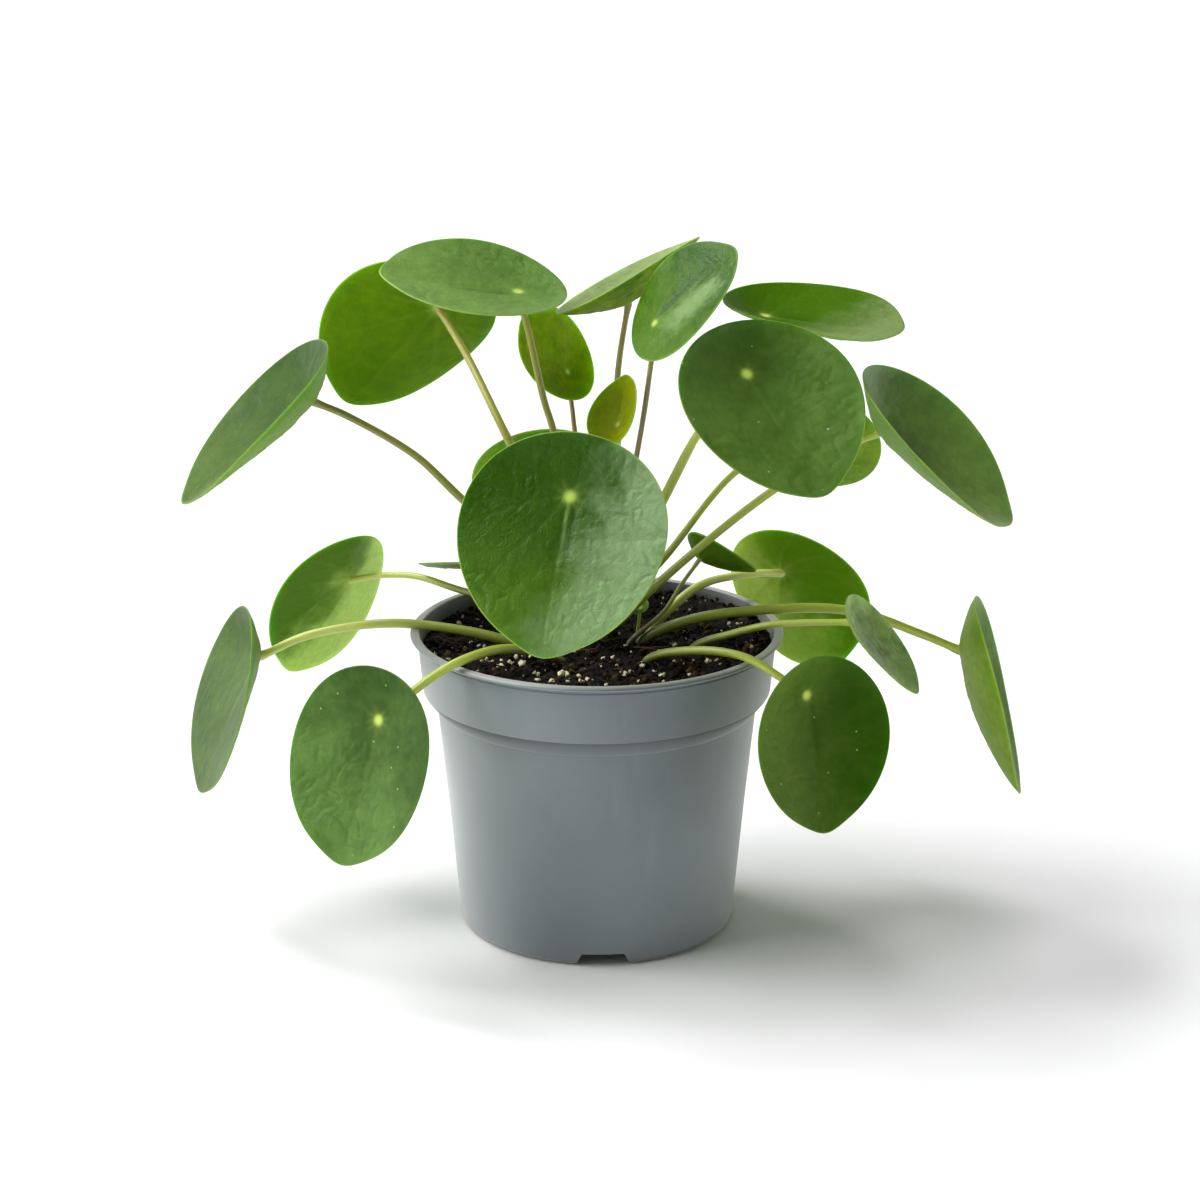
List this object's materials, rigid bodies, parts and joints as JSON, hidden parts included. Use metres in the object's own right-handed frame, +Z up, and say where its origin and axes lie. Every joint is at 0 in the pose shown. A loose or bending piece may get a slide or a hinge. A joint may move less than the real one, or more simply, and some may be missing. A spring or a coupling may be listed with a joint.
{
  "type": "potted pilea plant",
  "caption": "Bushy house plant with round shield-shaped blades on long arching petioles, growing in a round tapered plastic nursery pot that stands on a table or shelf.",
  "frame": {"origin": "on the pot's axis, on the plane that the pot's foot stands on", "axes": "+Z up along the pot's axis, -Y to the front, where the largest blade faces, +X to the right"},
  "size_m": [0.2712, 0.1623, 0.2283],
  "materials": {
    "pot_plastic": "matte",
    "soil": "matte",
    "stem": "matte",
    "blade": "satin",
    "young_blade": "satin",
    "petiole": "satin",
    "young_petiole": "satin"
  },
  "bodies": {
    "root": {"pot": "pot_plastic", "soil": "soil", "main_stem": "stem", "blade_back_upper_left": "blade", "petiole_back_upper_left": "petiole", "blade_top_left": "blade", "petiole_top_left": "petiole", "blade_left_upper": "blade", "petiole_left_upper": "petiole", "blade_young_back": "young_blade", "petiole_young_back": "young_petiole", "blade_front_centre": "blade", "petiole_front_centre": "petiole", "blade_back_centre": "blade", "petiole_back_centre": "petiole", "blade_top_centre": "blade", "petiole_top_centre": "petiole", "blade_top_right": "young_blade", "petiole_top_right": "young_petiole", "blade_young_front": "young_blade", "petiole_young_front": "young_petiole", "blade_right_top": "blade", "petiole_right_top": "petiole", "blade_right_front": "blade", "petiole_right_front": "petiole", "blade_right_back": "blade", "petiole_right_back": "petiole", "blade_right_outer": "blade", "petiole_right_outer": "petiole", "blade_left_outer_low": "blade", "petiole_left_outer_low": "petiole", "blade_left_back_low": "blade", "petiole_left_back_low": "petiole", "blade_left_front_low": "blade", "petiole_left_front_low": "petiole", "blade_right_front_low": "blade", "petiole_right_front_low": "petiole", "blade_right_back_low": "blade", "petiole_right_back_low": "petiole", "blade_right_small_low": "blade", "petiole_right_small_low": "petiole", "blade_right_outer_low": "blade", "petiole_right_outer_low": "petiole", "blade_young_right": "young_blade", "petiole_young_right": "young_petiole", "blade_seedling": "young_blade", "petiole_seedling": "young_petiole", "blade_left_back_edge": "blade", "petiole_left_back_edge": "petiole"}
  },
  "joints": []
}
